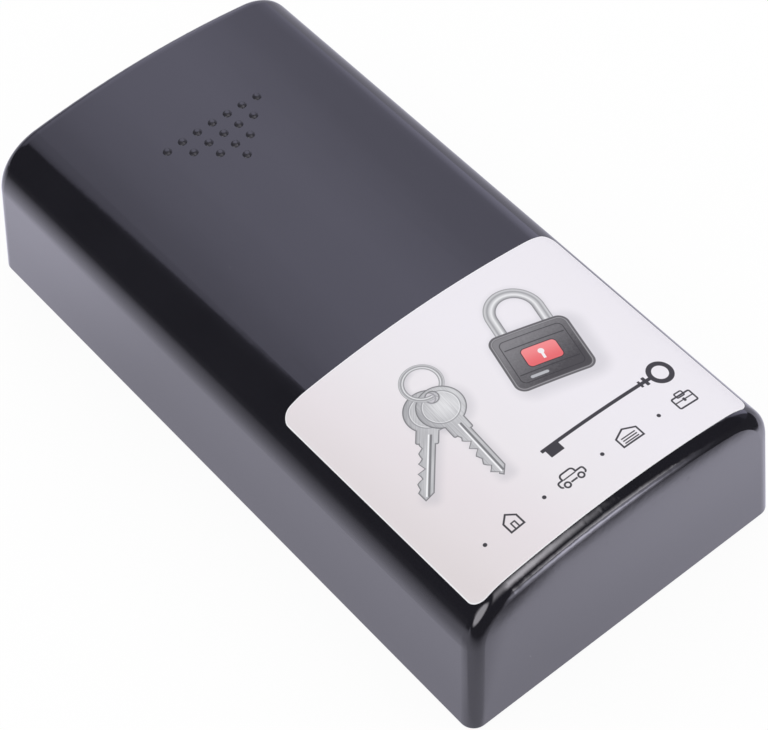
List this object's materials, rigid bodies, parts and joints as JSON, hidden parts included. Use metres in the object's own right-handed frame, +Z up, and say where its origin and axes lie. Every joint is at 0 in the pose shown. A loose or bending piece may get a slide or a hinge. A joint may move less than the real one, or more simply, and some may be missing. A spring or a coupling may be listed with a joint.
{
  "type": "magnetic key box",
  "caption": "Black plastic key box whose crowned cover slides off a flat base that block magnets hold to steel.",
  "frame": {"origin": "under the middle of the closed box, on the steel surface that the magnets hold to", "axes": "+X along the box towards the label, the way the cover slides off; +Z up, away from the steel"},
  "size_m": [0.12, 0.0616, 0.0306],
  "materials": {
    "cover_plastic": "gloss",
    "base_plastic": "satin",
    "magnet_ferrite": "satin",
    "mounting_tape": "matte",
    "label": "satin"
  },
  "bodies": {
    "base": {"sliding_base": "base_plastic", "front_magnet": "magnet_ferrite", "rear_magnet": "magnet_ferrite", "front_magnet_tape": "mounting_tape", "rear_magnet_tape": "mounting_tape"},
    "cover": {"cover_shell": "cover_plastic", "label_sheet": "label"}
  },
  "joints": [
    {"name": "cover_slide", "type": "slide", "parent": "base", "child": "cover", "axis": [1, 0, 0], "range_m": [0, 0.122]}
  ]
}
